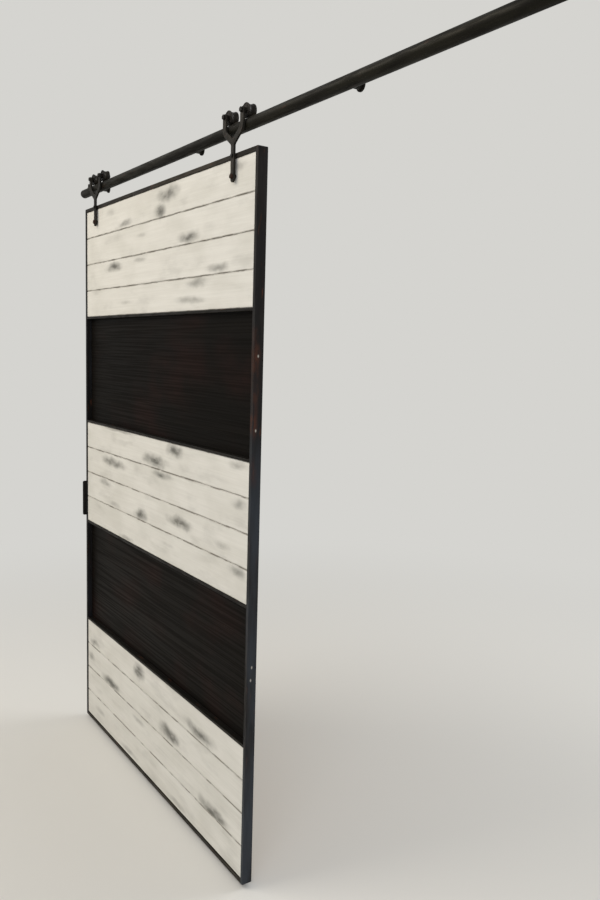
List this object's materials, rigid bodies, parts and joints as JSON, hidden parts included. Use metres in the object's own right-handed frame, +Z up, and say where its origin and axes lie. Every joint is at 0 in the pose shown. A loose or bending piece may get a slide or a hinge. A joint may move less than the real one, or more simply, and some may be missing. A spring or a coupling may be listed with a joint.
{
  "type": "sliding barn door",
  "caption": "A sliding barn door of white worn boards and dark steel panels in a flat-bar frame, hung by forked hangers with grooved wheels on a round wall rail",
  "frame": {"origin": "On the wall plane, at the middle of the line of wall fixings behind the rail", "axes": "+X runs along the rail to the viewer's right, +Y points into the wall, +Z is up; the door hangs at negative Y"},
  "size_m": [2.757, 0.068, 2.2609],
  "materials": {
    "painted_board": "worn white paint",
    "backing_board": "raw",
    "panel_steel": "satin",
    "frame_steel": "satin",
    "pull_steel": "satin",
    "rail_steel": "satin",
    "standoff_steel": "satin",
    "hanger_steel": "satin",
    "wheel_steel": "satin",
    "rusty_fastener": "rusty",
    "fastener_steel": "satin"
  },
  "bodies": {
    "rail": {"rail_caps": "rail_steel", "rail_tube": "rail_steel", "standoffs": "standoff_steel", "stop_pegs": "rail_steel"},
    "door": {"axle_bolts": "fastener_steel", "axle_nuts": "fastener_steel", "axle_sleeves": "fastener_steel", "backing_board_1": "backing_board", "backing_board_2": "backing_board", "board_01": "painted_board", "board_02": "painted_board", "board_03": "painted_board", "board_04": "painted_board", "board_05": "painted_board", "board_06": "painted_board", "board_07": "painted_board", "board_08": "painted_board", "board_09": "painted_board", "board_10": "painted_board", "board_11": "painted_board", "board_12": "painted_board", "divider_1_lower": "frame_steel", "divider_1_upper": "frame_steel", "divider_2_lower": "frame_steel", "divider_2_upper": "frame_steel", "edge_pull": "pull_steel", "frame_bar_bottom": "frame_steel", "frame_bar_top": "frame_steel", "frame_stile_left": "frame_steel", "frame_stile_right": "frame_steel", "hanger_bolts_foot": "rusty_fastener", "hanger_fork_left": "hanger_steel", "hanger_fork_right": "hanger_steel", "hanger_nuts_foot": "fastener_steel", "hanger_screws_top": "fastener_steel", "hanger_spacers_foot": "hanger_steel", "hanger_spacers_top": "hanger_steel", "panel_1": "panel_steel", "panel_2": "panel_steel"},
    "wheel_set_1": {"wheel_1": "wheel_steel"},
    "wheel_set_2": {"wheel_2": "wheel_steel"},
    "wheel_set_3": {"wheel_3": "wheel_steel"},
    "wheel_set_4": {"wheel_4": "wheel_steel"}
  },
  "joints": [
    {"name": "door_slide", "type": "slide", "parent": "rail", "child": "door", "axis": [1, 0, 0], "range_m": [-0.0516, 1.3416]},
    {"name": "wheel_spin_1", "type": "hinge", "parent": "door", "child": "wheel_set_1", "pos_m": [-1.241, -0.038, 0.035], "axis": [0, 1, 0], "continuous": true},
    {"name": "wheel_spin_2", "type": "hinge", "parent": "door", "child": "wheel_set_2", "pos_m": [-1.143, -0.038, 0.035], "axis": [0, 1, 0], "continuous": true},
    {"name": "wheel_spin_3", "type": "hinge", "parent": "door", "child": "wheel_set_3", "pos_m": [-0.147, -0.038, 0.035], "axis": [0, 1, 0], "continuous": true},
    {"name": "wheel_spin_4", "type": "hinge", "parent": "door", "child": "wheel_set_4", "pos_m": [-0.049, -0.038, 0.035], "axis": [0, 1, 0], "continuous": true}
  ],
  "couplings": [
    {"joint": "wheel_spin_1", "follows": "door_slide", "rad_per_m": 55.556},
    {"joint": "wheel_spin_2", "follows": "door_slide", "rad_per_m": 55.556},
    {"joint": "wheel_spin_3", "follows": "door_slide", "rad_per_m": 55.556},
    {"joint": "wheel_spin_4", "follows": "door_slide", "rad_per_m": 55.556}
  ]
}
